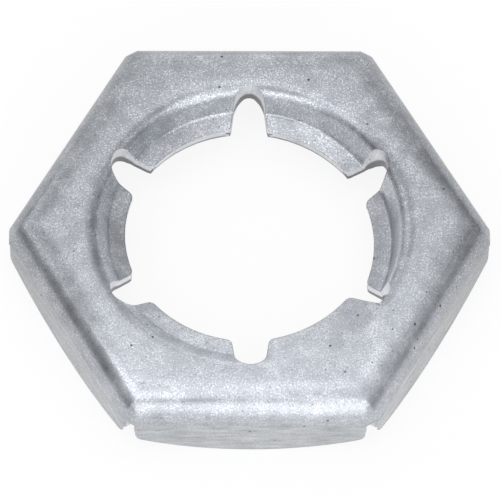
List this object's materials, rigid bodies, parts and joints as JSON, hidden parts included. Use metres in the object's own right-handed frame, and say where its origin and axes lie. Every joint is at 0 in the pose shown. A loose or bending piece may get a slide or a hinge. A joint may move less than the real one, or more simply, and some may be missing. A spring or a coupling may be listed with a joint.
{
  "type": "sheet metal lock nut",
  "caption": "Self-locking counternut folded from spring steel sheet: a hexagonal cap with a smooth bearing face, curved flanges and pressed lugs that follow one turn of a thread.",
  "frame": {"origin": "centre of the base, on the plane that the six flange rims stand on, under the thread's axis", "axes": "+Z along the thread's axis, from the flange rims to the smooth bearing face; +X through a corner of the hexagon; +Y square through a flat"},
  "size_m": [0.0272, 0.024, 0.0046],
  "materials": {
    "zinc_steel": "matt mottled zinc coating"
  },
  "bodies": {
    "root": {"lock_nut": "zinc_steel"}
  },
  "joints": []
}
